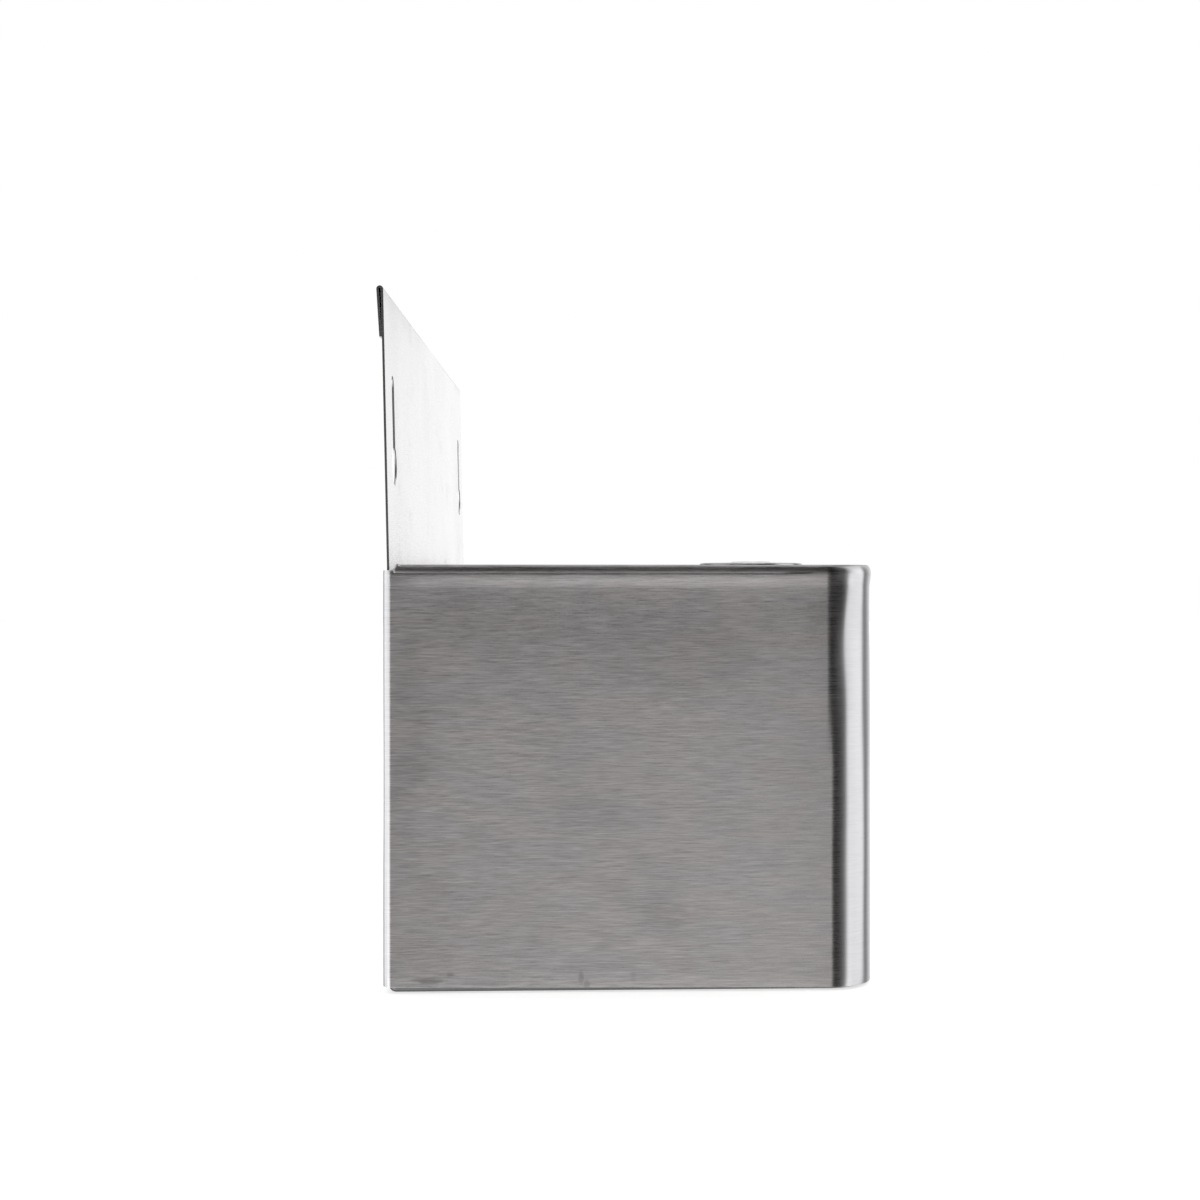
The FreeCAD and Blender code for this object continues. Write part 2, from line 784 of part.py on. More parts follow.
os.makedirs("parts", exist_ok=True)
for name, shape in nodes.items():
    shape.exportStep("parts/" + name + ".step")
    bounds = shape.BoundBox
    print(
        "%-18s solids %2d valid %s volume %9.1f  x %7.2f %7.2f  y %7.2f %7.2f  z %7.2f %7.2f"
        % (
            name,
            len(shape.Solids),
            shape.isValid(),
            shape.Volume,
            bounds.XMin,
            bounds.XMax,
            bounds.YMin,
            bounds.YMax,
            bounds.ZMin,
            bounds.ZMax,
        )
    )
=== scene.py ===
"""Looks of the wall ashtray bin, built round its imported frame.

Lengths are in metres, except the defaults of the sizes below, which are given in millimetres.
"""

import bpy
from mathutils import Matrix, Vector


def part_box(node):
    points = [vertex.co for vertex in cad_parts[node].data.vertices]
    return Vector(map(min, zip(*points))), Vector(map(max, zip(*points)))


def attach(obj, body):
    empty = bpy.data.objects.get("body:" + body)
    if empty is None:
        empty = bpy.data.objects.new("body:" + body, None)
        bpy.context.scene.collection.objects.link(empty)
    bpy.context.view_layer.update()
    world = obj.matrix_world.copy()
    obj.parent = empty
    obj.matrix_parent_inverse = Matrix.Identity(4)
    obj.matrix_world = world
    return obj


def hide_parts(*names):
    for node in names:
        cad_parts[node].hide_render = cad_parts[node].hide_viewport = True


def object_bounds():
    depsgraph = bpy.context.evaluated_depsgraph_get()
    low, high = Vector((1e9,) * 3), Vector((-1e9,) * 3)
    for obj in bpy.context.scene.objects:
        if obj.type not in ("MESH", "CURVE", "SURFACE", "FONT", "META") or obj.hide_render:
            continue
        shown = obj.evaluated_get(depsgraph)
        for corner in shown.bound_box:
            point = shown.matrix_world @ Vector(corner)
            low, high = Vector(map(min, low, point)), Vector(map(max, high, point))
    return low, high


bl_info = {
    "name": "Ashtray Bin Looks",
    "version": (1, 0, 0),
    "blender": (4, 5, 0),
    "location": "View3D > Sidebar > Ashtray Bin",
    "description": "Sheet-metal pieces, finishes and studio for a wall ashtray bin",
    "category": "Object",
}

import math

import bmesh
import bpy
from bpy.props import FloatProperty, FloatVectorProperty, IntProperty, PointerProperty
from mathutils import Vector, noise

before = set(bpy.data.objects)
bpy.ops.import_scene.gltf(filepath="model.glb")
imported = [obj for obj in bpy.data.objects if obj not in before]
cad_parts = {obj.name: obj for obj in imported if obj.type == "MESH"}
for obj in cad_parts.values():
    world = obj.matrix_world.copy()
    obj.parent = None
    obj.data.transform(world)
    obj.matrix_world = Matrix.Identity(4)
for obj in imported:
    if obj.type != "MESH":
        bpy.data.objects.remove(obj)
cad_low, cad_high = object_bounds()

MM = 0.001
WELD = 0.002 * MM
FLAT_ANGLE = math.radians(0.6)
SHARP_ANGLE = math.radians(35)
UP = Vector((0, 0, 1))


# ---- Sizes and colours a user would change ----


def length(name, description, millimetres):
    return FloatProperty(
        name=name, description=description, default=millimetres * MM, unit="LENGTH", precision=5
    )


def angle(name, description, degrees):
    return FloatProperty(
        name=name, description=description, default=math.radians(degrees), subtype="ANGLE"
    )


def share(name, description, value):
    return FloatProperty(name=name, description=description, default=value, min=0.0, max=1.0)


def colour(name, description, value):
    return FloatVectorProperty(
        name=name, description=description, default=value, size=3, subtype="COLOR", min=0.0, max=1.0
    )


def count(name, description, value):
    return IntProperty(name=name, description=description, default=value, min=1)


class AshtrayShell(bpy.types.PropertyGroup):
    """Sizes of the folded shell"""

    sheet: length("Sheet", "Thickness of the shell's sheet", 0.6)
    corner_radius: length("Front corner", "Outer radius of the two front corners", 9.5)
    rear_radius: length("Rear bend", "Outer radius of the bends into the rear returns", 1.8)
    return_width: length("Return", "Width of each rear return", 16.0)
    rim_width: length("Rim width", "Thickness of the rolled rim", 2.2)
    rim_proud: length("Rim stand", "How far the rim stands out of the wall below it", 0.2)
    rim_drop: length("Flap", "Depth of the rim's folded flap inside", 7.0)
    rim_flare: length("Flare", "How far below the top the inner face starts to follow the rim", 7.5)
    crease_drop: length("Crease drop", "How far below the top the rolling crease lies", 1.8)
    crease_depth: length("Crease depth", "Depth of the rolling crease", 0.09)
    crease_stop: length("Crease stop", "How far from the bin's corners the crease has died out", 14.0)
    pinch_drop: length("Pinch drop", "How far below the top the rolling tool pinched the wall", 5.0)
    pinch_depth: length("Pinch depth", "Depth of that pinched hollow", 0.25)
    pinch_reach: length("Pinch reach", "How far down the wall the hollow fades out", 10.0)
    corner_pinch: share("Corner pinch", "Share of the hollow that is left round the front corners", 0.3)
    rim_setback: length("Rim setback", "How far the rim stops short of the rear face", 2.8)
    raw_drop: length("Raw edge", "How far the cut edge lies below the rim", 1.2)
    lift_front: length("Front lift", "Height of the bottom edge at the front", 0.6)
    lift_rear: length("Rear lift", "Height of the bottom edge at the rear", 1.35)
    edge_round: length("Edge rounding", "Rounding of the sheet's cut edges", 0.12)
    wave_height: length("Waviness", "Height of the slow waves in the sheet", 0.05)
    wave_length: length("Wave length", "Length of the slow waves in the sheet", 34.0)
    corner_wave: length("Corner waviness", "Unevenness of the front bends", 0.12)
    corner_swell: length("Corner swell", "How far the rolled rim pushed the front bends out", 0.3)
    corner_lead: length("Corner lead", "How far the wall sinks on its way into the front bends", 0.17)
    corner_run: length("Corner run", "How far before the front bends that sinking starts", 1.1)
    rim_slope: length("Rim slope", "Length over which the rim's end slopes down to the cut edge", 1.0)
    rim_fade: length("Rim fade", "Length over which the swelling under the rim dies out", 9.0)
    rim_ear: length("Rim ear", "Height of the small turned-up ear at each end of the rim", 0.2)
    step: length("Step", "Longest facet along the walls", 2.5)
    fine_step: length("Fine step", "Longest facet at the rim's ends and by the front bends", 0.2)


class AshtrayParts(bpy.types.PropertyGroup):
    """Sizes of the plates, rivets and lock"""

    soft_edge: length("Soft edge", "Rounding of the edges of sheet and turned parts", 0.1)
    stub_border: length("Plate border", "Plain border round the stub plate's holes", 6.5)
    stub_pitch: length("Hole pitch", "Spacing of the stub plate's holes", 6.5)
    stub_hole: length("Hole radius", "Radius of the stub plate's holes", 1.8)
    collar_width: length("Collar width", "Width of the pressed collar round each hole", 0.55)
    collar_height: length("Collar height", "Height of the pressed collar round each hole", 0.4)
    mandrel_radius: length("Rivet stem", "Radius of the hole left by a rivet's stem", 0.6)
    mandrel_depth: length("Stem depth", "Depth of the hole left by a rivet's stem", 0.45)
    rivet_head: length("Rivet head", "Height of a rivet's head", 0.7)
    rivet_shank: length("Rivet shank", "Radius of a rivet's shank", 1.2)
    thread_pitch: length("Thread pitch", "Pitch of the lock barrel's thread", 1.0)
    thread_depth: length("Thread depth", "Depth of the lock barrel's thread", 0.35)
    barrel_radius: length("Barrel radius", "Outer radius of the lock barrel", 8.0)
    plug_radius: length("Plug radius", "Radius of the bore that the key plug turns in", 5.56)
    bezel_lip: length("Bezel lip", "Width of the turned step round the bezel", 1.6)
    bezel_step: length("Bezel step", "Depth of the turned step round the bezel", 0.25)
    bezel_corner: length("Bezel corner", "Rounding of the bezel's outer corner", 0.5)
    round_segments: count("Round segments", "Facets round a turned part", 96)
    rivet_segments: count("Rivet segments", "Facets round a rivet", 40)


class AshtrayFinish(bpy.types.PropertyGroup):
    """Colours and wear of the finishes"""

    steel_warm: colour("Steel, warm", "Brushed stainless, warmer patches", (0.508, 0.484, 0.476))
    steel_cool: colour("Steel, cool", "Brushed stainless, cooler patches", (0.492, 0.477, 0.477))
    bend_tone: colour("Steel, bends", "Polished stainless of the bends", (0.482, 0.478, 0.49))
    plate_tone: colour("Wall plate", "Brushed stainless of the wall plate", (0.61, 0.602, 0.604))
    inner_tone: colour("Inner steel", "Dull mill-finish sheet inside", (0.36, 0.36, 0.365))
    lid_tone: colour("Lid", "Brushed stainless of the lid", (0.54, 0.535, 0.53))
    rivet_tone: colour("Rivets", "Aluminium of the rivets", (0.68, 0.68, 0.69))
    chrome_tone: colour("Chrome", "Plating of the lock", (0.47, 0.47, 0.475))
    zinc_tone: colour("Zinc", "Zinc plating of the cam and its fixings", (0.56, 0.55, 0.47))
    rubber_tone: colour("Rubber", "Rubber of the bumpers and gasket", (0.035, 0.035, 0.037))
    grain: share("Grain", "Strength of the brushed lines", 0.2)
    mottle: share("Mottling", "Strength of the slow patches in the steel", 0.05)
    # Brightens the colour of the bends: a painted highlight, on top of their calmer polished grain.
    bend_highlight: FloatProperty(name="Bend polish", description="Brightness of bends", default=1.28)
    rear_dull: share("Rear dulling", "Brightness left on the unbrushed faces at the rear", 0.62)
    # Darkens the colour of the rim's top, from 3.1 mm below it upwards, away from the bends.
    rim_darkening: share("Rim scuff", "Brightness left on the scuffed top of the rim", 0.5)
    shell_roughness: share("Shell roughness", "Roughness of the shell's brushed sheet", 0.3)


class AshtrayStudio(bpy.types.PropertyGroup):
    """Camera, floor and light"""

    camera_gap: length("Camera gap", "From the camera to the near side of the bin", 367.7)
    camera_side: length("Camera side", "How far the camera stands towards the wall side", 6.68)
    camera_height: length("Camera height", "Height of the camera above the floor", 87.1)
    camera_yaw: angle("Camera turn", "How far the camera turns towards the bin's front", 2.0)
    lens: FloatProperty(name="Lens", description="Focal length in millimetres", default=52.41)
    shift_x: FloatProperty(name="Shift across", description="Sideways lens shift", default=-0.0499)
    shift_y: FloatProperty(name="Shift up", description="Upward lens shift", default=-0.018)
    floor_reach: length("Floor", "Half width of the floor", 3000.0)
    floor_tone: share("Floor tone", "Brightness of the floor's own surface", 0.9)
    floor_glow: share("Floor glow", "Light added so that the floor meets the backdrop", 0.62)
    room_light: FloatProperty(name="Room light", description="Strength of the room", default=1.0)


# ---- Mesh helpers ----


def new_piece(name, mesh, looks, slot_name, body, nodes=()):
    """A piece that rides on a body, has the finish of its slot and may stand for frame nodes."""
    piece = bpy.data.objects.new(name, mesh)
    bpy.context.scene.collection.objects.link(piece)
    mesh.materials.append(looks[slot_name])
    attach(piece, body)
    if nodes:
        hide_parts(*nodes)
    return piece


def mesh_from(work, name, sharp_angle=SHARP_ANGLE):
    """The finished mesh of a bmesh, smooth except at edges that bend more than the angle."""
    bmesh.ops.recalc_face_normals(work, faces=work.faces)
    mesh = bpy.data.meshes.new(name)
    work.to_mesh(mesh)
    work.free()
    mesh.polygons.foreach_set("use_smooth", [True] * len(mesh.polygons))
    mesh.set_sharp_from_angle(angle=sharp_angle)
    return mesh


def skin_rings(work, rings):
    """Quads between neighbouring rings of points; each ring closes on itself."""
    made = [[work.verts.new(point) for point in ring] for ring in rings]
    for ring, following in zip(made, made[1:]):
        for index in range(len(ring)):
            after = (index + 1) % len(ring)
            work.faces.new((ring[index], ring[after], following[after], following[index]))
    return made


def weld(work):
    """Join points that coincide and drop what this leaves without a size."""
    bmesh.ops.remove_doubles(work, verts=work.verts, dist=WELD)
    bmesh.ops.dissolve_degenerate(work, edges=work.edges, dist=WELD)


def lathe(work, profile, centre, along, segments):
    """Turn a closed or axis-to-axis profile of (radius, height) about an axis through centre."""
    spin = along.to_track_quat("Z", "Y").to_matrix()
    made = []
    for index in range(segments):
        turn = math.tau * index / segments
        across = Vector((math.cos(turn), math.sin(turn), 0))
        points = [centre + spin @ (across * radius + UP * height) for radius, height in profile]
        made.append([work.verts.new(point) for point in points])
    for index in range(segments):
        ring, following = made[index], made[(index + 1) % segments]
        for low in range(len(profile) - 1):
            work.faces.new((ring[low], following[low], following[low + 1], ring[low + 1]))
    weld(work)


def arc_points(centre, radius, start, end, steps):
    """Points on an arc in a plane, angles in degrees, both ends included."""
    points = []
    for index in range(steps + 1):
        turn = math.radians(start + (end - start) * index / steps)
        points.append((centre[0] + radius * math.cos(turn), centre[1] + radius * math.sin(turn)))
    return points


def softened(node, looks, slot_name, body, width, name=None):
    """A copy of a frame node with its sharp edges rounded, standing for that node."""
    name = name or node + "_skin"
    work = bmesh.new()
    work.from_mesh(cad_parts[node].data)
    bmesh.ops.remove_doubles(work, verts=work.verts, dist=WELD)
    bmesh.ops.dissolve_limit(work, angle_limit=FLAT_ANGLE, verts=work.verts, edges=work.edges)
    sharp = [edge for edge in work.edges if edge.is_manifold and edge.calc_face_angle() > SHARP_ANGLE]
    bmesh.ops.bevel(
        work, geom=sharp, offset=width, segments=2, profile=0.5, affect="EDGES", clamp_overlap=True
    )
    piece = new_piece(name, mesh_from(work, name), looks, slot_name, body, (node,))
    piece.modifiers.new("Even faces", "WEIGHTED_NORMAL").keep_sharp = True


def clusters(node, reach):
    """Lowest and highest corners of each separate solid in a node, found by distance."""
    groups = []
    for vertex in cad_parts[node].data.vertices:
        near = [group for group in groups if (vertex.co - group[0]).length < reach]
        if near:
            near[0].append(vertex.co.copy())
        else:
            groups.append([vertex.co.copy()])
    return [[Vector([end(run) for run in zip(*group)]) for end in (min, max)] for group in groups]


# ---- Finishes ----


class Nodes:
    """A node tree whose nodes are added one by one; an input is a value or another node's output."""

    def __init__(self, tree):
        self.tree = tree
        tree.nodes.clear()

    def add(self, kind, inputs=None, **settings):
        node = self.tree.nodes.new(kind)
        for key, value in settings.items():
            setattr(node, key, value)
        for key, value in (inputs or {}).items():
            if isinstance(value, bpy.types.NodeSocket):
                self.tree.links.new(value, node.inputs[key])
            else:
                node.inputs[key].default_value = value
        return node

    def math(self, operation, first, second=0.0):
        return self.add("ShaderNodeMath", {0: first, 1: second}, operation=operation).outputs[0]

    def remap(self, value, low, high, to_low, to_high, smooth=False):
        node = self.add(
            "ShaderNodeMapRange",
            {"Value": value, "From Min": low, "From Max": high, "To Min": to_low, "To Max": to_high},
            interpolation_type="SMOOTHSTEP" if smooth else "LINEAR",
        )
        return node.outputs[0]

    def mix_value(self, factor, first, second):
        node = self.add("ShaderNodeMix", {0: factor, 2: first, 3: second}, data_type="FLOAT")
        return node.outputs[0]

    def split(self, vector):
        return self.add("ShaderNodeSeparateXYZ", {0: vector}).outputs


class Finish(Nodes):
    """A material, with its own coordinates and the marks and grain that finishes are made of."""

    def __init__(self, name):
        self.material = bpy.data.materials.new(name)
        self.material.use_nodes = True
        super().__init__(self.material.node_tree)
        coordinates = self.add("ShaderNodeTexCoord").outputs
        self.place, self.facing = coordinates["Object"], coordinates["Normal"]

    def noise(self, scale, detail=2.0, roughness=0.5):
        """Noise from 0 to 1 with that many waves a metre along each axis."""
        stretched = self.add("ShaderNodeMapping", {"Vector": self.place, "Scale": scale})
        node = self.add(
            "ShaderNodeTexNoise",
            {"Vector": stretched.outputs[0], "Scale": 1.0, "Detail": detail, "Roughness": roughness},
        )
        return node.outputs[0]

    def swing(self, value, amount):
        """A factor about 1 that follows a noise of mean one half."""
        return self.remap(value, 0.3, 0.7, 1.0 - amount, 1.0 + amount)

    def dimmed(self, mask, brightness):
        """A factor of 1 that turns into the brightness where the mask is 1."""
        return self.remap(mask, 0.0, 1.0, 1.0, brightness)

    def spot(self, centre, size):
        """1 in the middle of an ellipsoid of that half size, fading to 0 at its ragged edge."""
        reach = self.add("ShaderNodeVectorMath", {0: self.place, 1: centre}, operation="SUBTRACT")
        share = self.add("ShaderNodeVectorMath", {0: reach.outputs[0], 1: size}, operation="DIVIDE")
        far = self.add("ShaderNodeVectorMath", {0: share.outputs[0]}, operation="LENGTH")
        ragged = self.math("ADD", far.outputs["Value"], self.noise([260.0, 260.0, 900.0], 3.0))
        return self.remap(ragged, 0.9, 1.6, 1.0, 0.0, smooth=True)

    def times(self, *values):
        result = values[0]
        for value in values[1:]:
            result = self.math("MULTIPLY", result, value)
        return result

    def mix(self, factor, first, second):
        tones = [(*tone, 1.0) if isinstance(tone, tuple) else tone for tone in (first, second)]
        node = self.add("ShaderNodeMix", {0: factor, 6: tones[0], 7: tones[1]}, data_type="RGBA")
        return node.outputs[2]

    def scaled(self, tone, factor):
        node = self.add("ShaderNodeVectorMath", {0: tone, "Scale": factor}, operation="SCALE")
        return node.outputs[0]

    def height_bump(self, height, depth):
        node = self.add("ShaderNodeBump", {"Height": height, "Strength": 1.0, "Distance": depth})
        return node.outputs[0]

    def surface(self, **inputs):
        named = {key.replace("_", " "): value for key, value in inputs.items()}
        shader = self.add("ShaderNodeBsdfPrincipled", named)
        self.add("ShaderNodeOutputMaterial", {"Surface": shader.outputs[0]})
        return self.material


def fine_stretch(along, run, line):
    """Noise scale for lines that are `line` thick along the axes named and about `run` long."""
    return [1 / (line * MM) if axis in along else 1 / (run * MM) for axis in "xyz"]


def brushed_level(made, finish, across, strength=1.0):
    """Brightness and roughness factors of brushed sheet, and the height of its lines."""
    fine = made.noise(fine_stretch(across, 4.5, 0.14), 3.0, 0.65)
    coarse = made.noise(fine_stretch(across, 8.0, 0.32), 2.0, 0.5)
    streak = made.noise(fine_stretch(across, 30.0, 1.3), 2.0, 0.5)
    patch = made.noise([26.0] * 3, 3.0, 0.55)
    smear = made.remap(made.noise([55.0, 55.0, 85.0], 4.0, 0.6), 0.56, 0.72, 0.0, 1.0, smooth=True)
    level = made.times(
        made.swing(fine, finish.grain * 1.7 * strength),
        made.swing(coarse, finish.grain * 0.45 * strength),
        made.swing(streak, finish.grain * 0.14 * strength),
        made.swing(patch, finish.mottle * strength),
        made.dimmed(smear, 0.95),
    )
    rough = made.times(made.swing(fine, 0.18), made.swing(patch, 0.1), made.dimmed(smear, 1.1))
    lines = made.math("ADD", made.times(fine, 0.7), made.times(coarse, 0.6))
    return level, rough, lines


def brushed_surface(made, tone, rough, lines, tangent, blur):
    """Metal that blurs reflections across the lines that run round the axis named."""
    turn = made.add("ShaderNodeTangent", direction_type="RADIAL", axis=tangent)
    return made.surface(
        Base_Color=tone,
        Metallic=1.0,
        Roughness=rough,
        Anisotropic=blur,
        Anisotropic_Rotation=0.25,
        Tangent=turn.outputs[0],
        Normal=made.height_bump(lines, 0.005 * MM),
    )


# Handling marks on the shell's left side: centre (y, z) and half size in mm, then brightness.
MARKED_SIDE_X = -105
SHELL_MARKS = (
    ((42.5, 2.6), (6, 3.6, 1.0), 0.62),
    ((37.8, 4.0), (6, 1.1, 0.6), 0.72),
    ((30.0, 2.2), (6, 7.0, 0.7), 0.86),
    ((46.5, 62.0), (6, 4.5, 30.0), 0.93),
    ((10.4, 3.3), (6, 0.7, 1.6), 0.76),
    ((9.2, 1.8), (6, 0.7, 1.2), 0.8),
    ((-0.6, 3.6), (6, 1.0, 1.2), 0.86),
    ((-39.4, 80.0), (6, 3.6, 3.4), 0.9),
    ((-10.0, 71.0), (9, 22.0, 13.0), 0.9),
    ((33.0, 40.0), (9, 16.0, 22.0), 1.05),
    ((8.0, 38.0), (9, 11.0, 5.0), 0.93),
)


def shell_steel(finish, top):
    """The shell's brushed sheet, with polished bends that carry a painted highlight, a strip of painted
    shade under the rim, a darker top to the rim and marks.
    """
    made = Finish("brushed_steel")
    level, rough, lines = brushed_level(made, finish, "z")
    facing = made.split(made.facing)
    height = made.split(made.place)[2]
    side, ahead = (made.math("ABSOLUTE", facing[axis]) for axis in (0, 1))
    bend = made.remap(made.times(side, ahead), 0.06, 0.32, 0.0, 1.0, smooth=True)
    rear = made.remap(facing[1], 0.93, 0.99, 0.0, 1.0)
    band_low, band_full, band_start, band_top = (top - drop * MM for drop in (32.0, 9.0, 4.6, 3.4))
    # Painted shade: a strip from 32 to 3.4 mm below the top, about 4 percent darker.
    painted_rim_shade = made.times(
        made.remap(height, band_low, band_full, 0.0, 1.0, smooth=True),
        made.remap(height, band_start, band_top, 1.0, 0.0, smooth=True),
    )
    rim_low, rim_full = top - 3.1 * MM, top - 1.0 * MM
    rolled = made.times(
        made.remap(height, rim_low, rim_full, 0.0, 1.0), made.remap(bend, 0.0, 0.5, 1.0, 0.0)
    )
    # The polished bends keep a fifth of the brushed sheet's unevenness.
    calm = made.math("ADD", made.times(level, made.dimmed(bend, 0.2)), made.times(bend, 0.8))
    lines = made.times(lines, made.remap(bend, 0.0, 0.6, 1.0, 0.2))
    rough = made.mix_value(bend, rough, 1.0)
    level = made.times(
        calm,
        # Painted highlight: the colour of the bends is brightened by this factor.
        made.dimmed(bend, finish.bend_highlight),
        # Painted shade on the strip under the rim.
        made.dimmed(painted_rim_shade, 0.96),
        # The rim's top is darkened by this factor.
        made.dimmed(rolled, finish.rim_darkening),
        made.dimmed(rear, finish.rear_dull),
    )
    for centre, size, brightness in SHELL_MARKS:
        centre = (MARKED_SIDE_X, *centre)
        mark = made.spot([value * MM for value in centre], [value * MM for value in size])
        level = made.times(level, made.dimmed(mark, brightness))
    hue = made.remap(made.noise([60.0, 60.0, 170.0], 2.0, 0.5), 0.4, 0.6, 0.0, 1.0)
    brushed = made.mix(hue, tuple(finish.steel_cool), tuple(finish.steel_warm))
    tone = made.scaled(made.mix(bend, brushed, tuple(finish.bend_tone)), level)
    return brushed_surface(made, tone, made.times(finish.shell_roughness, rough), lines, "Z", 0.93)


def flat_steel(name, tone, finish, across, tangent, roughness, strength):
    """Brushed sheet of the wall plate or the lid, with dark sheared edges and a painted highlight on its
    right-hand cut faces.
    """
    made = Finish(name)
    level, rough, lines = brushed_level(made, finish, across, strength)
    facing = made.split(made.facing)
    along = made.split(made.place)[0]
    cut = made.remap(made.math("ABSOLUTE", facing[0]), 0.85, 0.97, 0.0, 1.0)
    # Holes are burred half as darkly as the outer edges, and cut faces on the right get a painted
    # highlight.
    outer_edge = made.remap(made.math("ABSOLUTE", along), 94 * MM, 98 * MM, 0.0, 1.0)
    burr = made.times(cut, made.mix_value(outer_edge, 0.5, 1.0))
    painted_cut_highlight = made.times(made.remap(along, 60 * MM, 84 * MM, 0.0, 1.0), cut)
    rear = made.remap(facing[1], 0.5, 0.9, 0.0, 1.0)
    level = made.times(
        level,
        made.dimmed(burr, 0.36),
        # Painted highlight on the cut faces at the right end.
        made.dimmed(painted_cut_highlight, 2.2),
        made.dimmed(rear, finish.rear_dull),
    )
    lines = made.times(lines, made.remap(cut, 0.0, 1.0, strength, 0.0))
    tone = made.scaled(tuple(tone), level)
    return brushed_surface(made, tone, made.times(roughness, rough), lines, tangent, 0.9)


def dull_steel(name, tone):
    """Mill-finish sheet with faint roll lines and stains, and painted shade in its lowest 3 mm where it
    meets the floor.
    """
    made = Finish(name)
    cloud = made.noise([45.0] * 3, 4.0, 0.6)
    line = made.noise([900.0, 60.0, 900.0], 3.0, 0.6)
    speck = made.noise([1600.0] * 3, 2.0, 0.5)
    stain = made.remap(made.noise([95.0] * 3, 5.0, 0.65), 0.58, 0.7, 0.0, 1.0, smooth=True)
    height = made.split(made.place)[2]
    level = made.times(
        made.swing(cloud, 0.1),
        made.swing(line, 0.08),
        made.dimmed(stain, 0.85),
        # Painted shade: the colour falls to 0.4 of itself in the lowest 3 mm, where the floor shades it.
        made.remap(height, 0.3 * MM, 3 * MM, 0.4, 1.0),
    )
    rough = made.times(0.42, made.swing(cloud, 0.25), made.swing(speck, 0.12))
    normal = made.height_bump(made.math("ADD", speck, line), 0.006 * MM)
    return made.surface(
        Base_Color=made.scaled(tuple(tone), level), Metallic=1.0, Roughness=rough, Normal=normal
    )


def cast_metal(name, tone, roughness, grit, depth):
    """Small turned or pressed metal parts: fine grit, a few rubbed patches and soft tone changes."""
    made = Finish(name)
    fine = made.noise([grit] * 3, 3.0, 0.6)
    slow = made.noise([180.0] * 3, 3.0, 0.55)
    rub = made.remap(made.noise([420.0] * 3, 4.0, 0.6), 0.55, 0.7, 0.0, 1.0, smooth=True)
    level = made.times(made.swing(slow, 0.14), made.swing(fine, 0.06), made.dimmed(rub, 0.88))
    rough = made.times(roughness, made.swing(slow, 0.3), made.dimmed(rub, 1.35))
    return made.surface(
        Base_Color=made.scaled(tuple(tone), level),
        Metallic=1.0,
        Roughness=rough,
        Normal=made.height_bump(fine, depth),
    )


def moulded_rubber(name, tone):
    """Black rubber with a fine moulded grain and a pale bloom in places."""
    made = Finish(name)
    fine = made.noise([2600.0] * 3, 3.0, 0.6)
    bloom = made.remap(made.noise([300.0] * 3, 4.0, 0.6), 0.5, 0.75, 0.0, 1.0, smooth=True)
    level = made.times(made.swing(fine, 0.15), made.dimmed(bloom, 1.7))
    return made.surface(
        Base_Color=made.scaled(tuple(tone), level),
        Metallic=0.0,
        Roughness=made.remap(bloom, 0.0, 1.0, 0.55, 0.75),
        Normal=made.height_bump(fine, 0.02 * MM),
    )


FINISH_NAMES = (
    "brushed_steel", "wall_plate_steel", "lid_steel", "inner_steel",
    "rivet_metal", "lock_chrome", "cam_steel", "rubber",
)


def finishes(finish):
    """Every material of the bin by its record slot, made once."""
    steel = bpy.data.materials.get("brushed_steel")
    if steel and steel.get("looks"):
        return {name: bpy.data.materials[name] for name in FINISH_NAMES}
    for name in FINISH_NAMES:
        if name in bpy.data.materials:
            bpy.data.materials[name].name = "frame_" + name
    made = (
        shell_steel(finish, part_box("shell")[1].z),
        flat_steel("wall_plate_steel", finish.plate_tone, finish, "z", "Z", 0.26, 0.22),
        flat_steel("lid_steel", finish.lid_tone, finish, "yz", "Y", 0.32, 0.8),
        dull_steel("inner_steel", finish.inner_tone),
        cast_metal("rivet_metal", finish.rivet_tone, 0.34, 2500.0, 0.01 * MM),
        cast_metal("lock_chrome", finish.chrome_tone, 0.13, 3500.0, 0.002 * MM),
        cast_metal("cam_steel", finish.zinc_tone, 0.38, 1800.0, 0.015 * MM),
        moulded_rubber("rubber", finish.rubber_tone),
    )
    made[0]["looks"] = True
    return {material.name: material for material in made}


# ---- Shell ----


